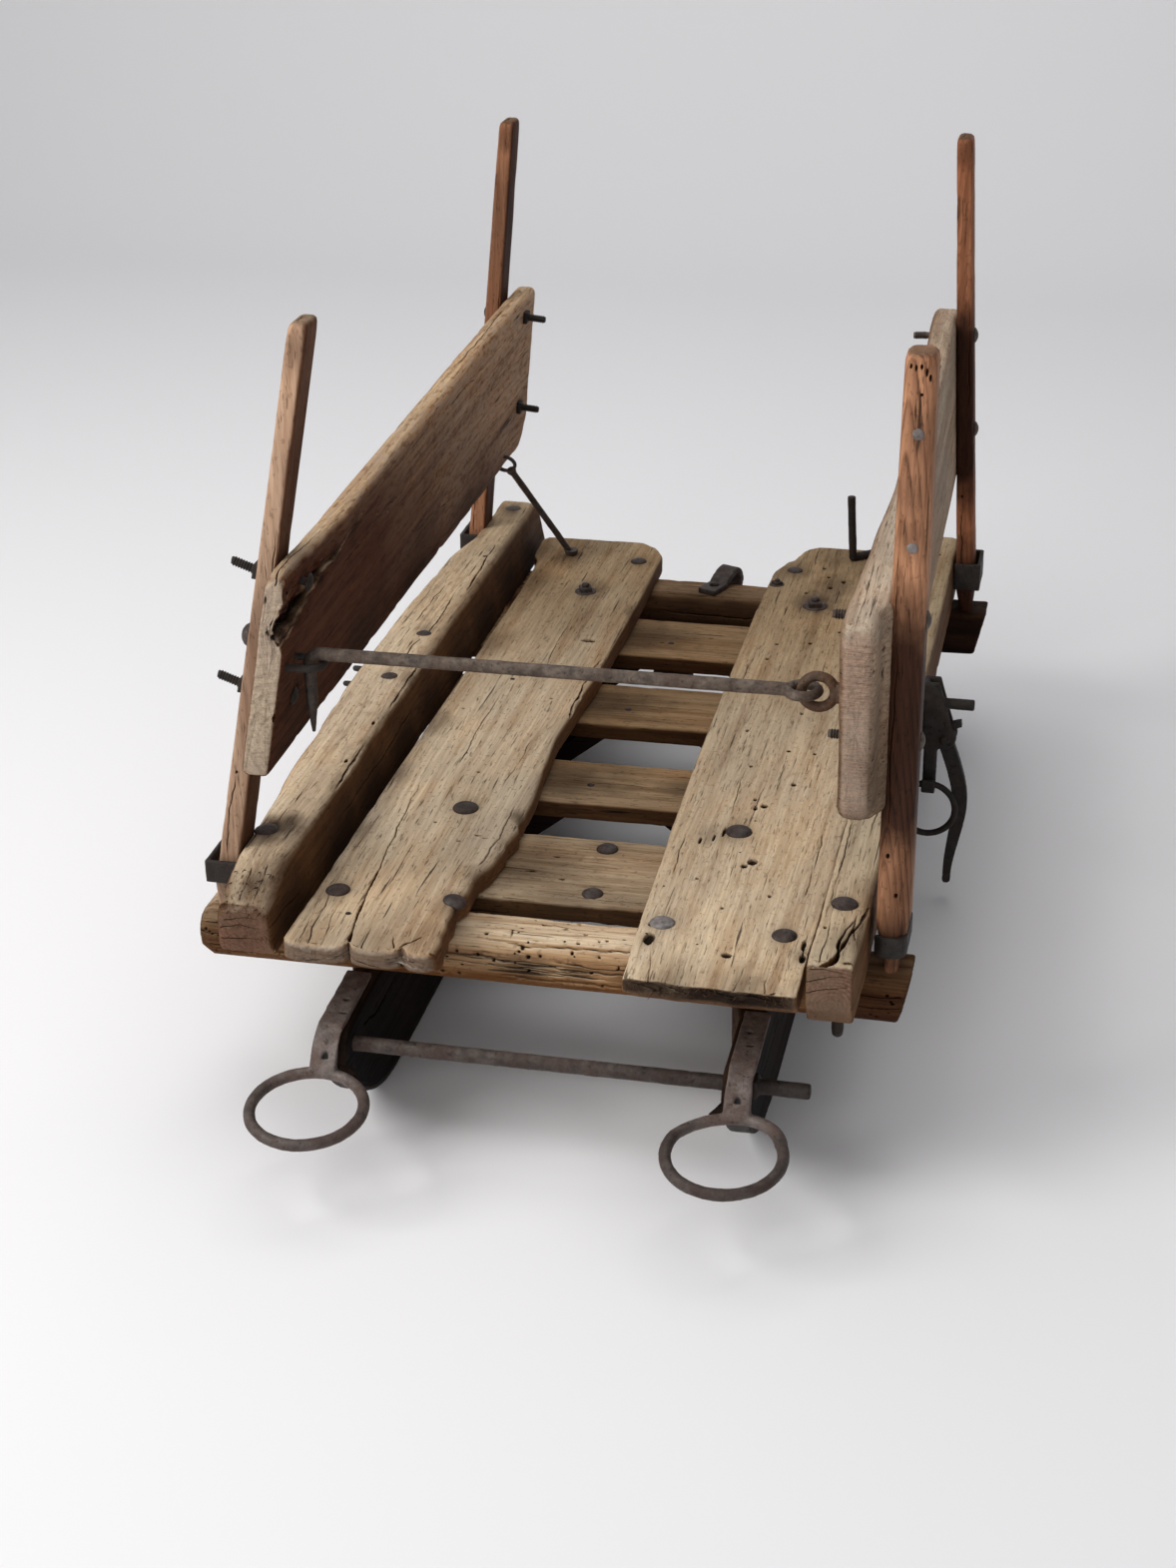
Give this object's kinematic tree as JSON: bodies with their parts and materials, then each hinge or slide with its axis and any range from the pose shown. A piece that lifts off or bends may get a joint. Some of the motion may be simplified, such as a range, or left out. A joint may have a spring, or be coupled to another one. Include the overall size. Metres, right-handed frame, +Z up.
{
  "type": "dog sled",
  "caption": "Low wooden freight sled on shod runners, with stakes, bolted side boards, forged draft rings and a swinging tie rod.",
  "frame": {"origin": "on the floor under the middle of the sled's bounding box", "axes": "+Y towards the rear, -Y towards the draft rings; +X towards the side with the hanging ring and lever; +Z up"},
  "size_m": [0.6284, 1.1382, 0.686],
  "materials": {
    "weathered_wood": "bare hardwood, grey and worn, open cracks and wormholes",
    "runner_wood": "bare hardwood, stained brown, worn",
    "beam_wood": "bare hardwood, honey brown, wormholes and a long crack",
    "stake_wood": "bare hardwood, red brown, handled smooth",
    "board_wood": "bare board, dark red brown, rubbed",
    "sole_iron": "worn bright below, rusty at the edges",
    "rusty_iron": "forged, dark with brown rust"
  },
  "bodies": {
    "sled": {"runner_left": "runner_wood", "runner_right": "runner_wood", "shoe_left": "sole_iron", "shoe_right": "sole_iron", "front_beam": "beam_wood", "rear_beam": "beam_wood", "centre_block": "weathered_wood", "knee_braces_left": "weathered_wood", "knee_braces_right": "weathered_wood", "deck_board_left": "weathered_wood", "deck_board_right": "weathered_wood", "rail_left": "weathered_wood", "rail_right": "weathered_wood", "stake_staples": "rusty_iron", "side_board_left": "board_wood", "side_board_right": "board_wood", "side_bolts_left": "rusty_iron", "side_bolts_right": "rusty_iron", "draft_ring_left": "rusty_iron", "draft_ring_right": "rusty_iron", "nose_rod": "rusty_iron", "tie_rod_eye": "rusty_iron", "tie_rod_staple": "rusty_iron", "side_stay": "rusty_iron", "corner_hook": "rusty_iron", "hitch_hook": "rusty_iron", "rail_hanger": "rusty_iron", "bench_front": "weathered_wood", "bench_second": "weathered_wood", "bench_third": "weathered_wood", "bench_rear": "weathered_wood", "stake_front_left": "stake_wood", "stake_rear_left": "stake_wood", "stake_front_right": "stake_wood", "stake_rear_right": "stake_wood"},
    "tie_rod": {"tie_rod": "rusty_iron"},
    "hang_ring": {"hang_ring": "rusty_iron"},
    "lever_hook": {"lever_hook": "rusty_iron"}
  },
  "joints": [
    {"name": "tie_rod_swing", "type": "hinge", "parent": "sled", "child": "tie_rod", "pos_m": [0.21785, -0.36185, 0.415], "axis": [0, 1, 0], "range_deg": [0, 60]},
    {"name": "lever_swing", "type": "hinge", "parent": "sled", "child": "lever_hook", "pos_m": [0.28785, 0.09465, 0.178], "axis": [0, -1, 0], "range_deg": [0, 80]},
    {"name": "ring_swing", "type": "hinge", "parent": "sled", "child": "hang_ring", "pos_m": [0.27465, 0.07964, 0.132], "axis": [1, 0, 0], "range_deg": [-60, 3]}
  ]
}
